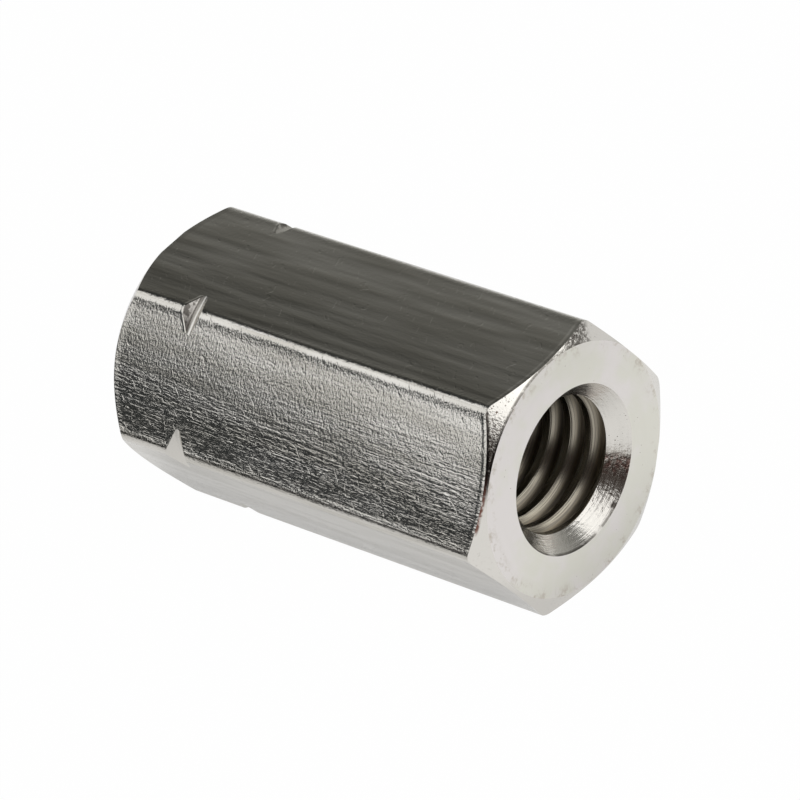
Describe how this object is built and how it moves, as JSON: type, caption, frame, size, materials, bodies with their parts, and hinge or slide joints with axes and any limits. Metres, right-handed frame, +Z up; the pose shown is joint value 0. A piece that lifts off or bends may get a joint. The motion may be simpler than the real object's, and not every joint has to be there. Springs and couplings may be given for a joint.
{
  "type": "coupling nut",
  "caption": "Long hexagon nut that joins two threaded rods end to end: chamfered ends, a ring of nicks in the corners near one end, and a countersunk thread right through.",
  "frame": {"origin": "under the middle of the nut, on the flat that it lies on", "axes": "+X along the thread to the plain end (the nicked end is at -X), +Z up through the top flat, +Y towards a corner"},
  "size_m": [0.015, 0.0092, 0.008],
  "materials": {
    "bare_steel": "bare drawn hexagon bar with fine grain along the flats, turned ends"
  },
  "bodies": {
    "root": {"coupling_nut": "bare_steel"}
  },
  "joints": []
}
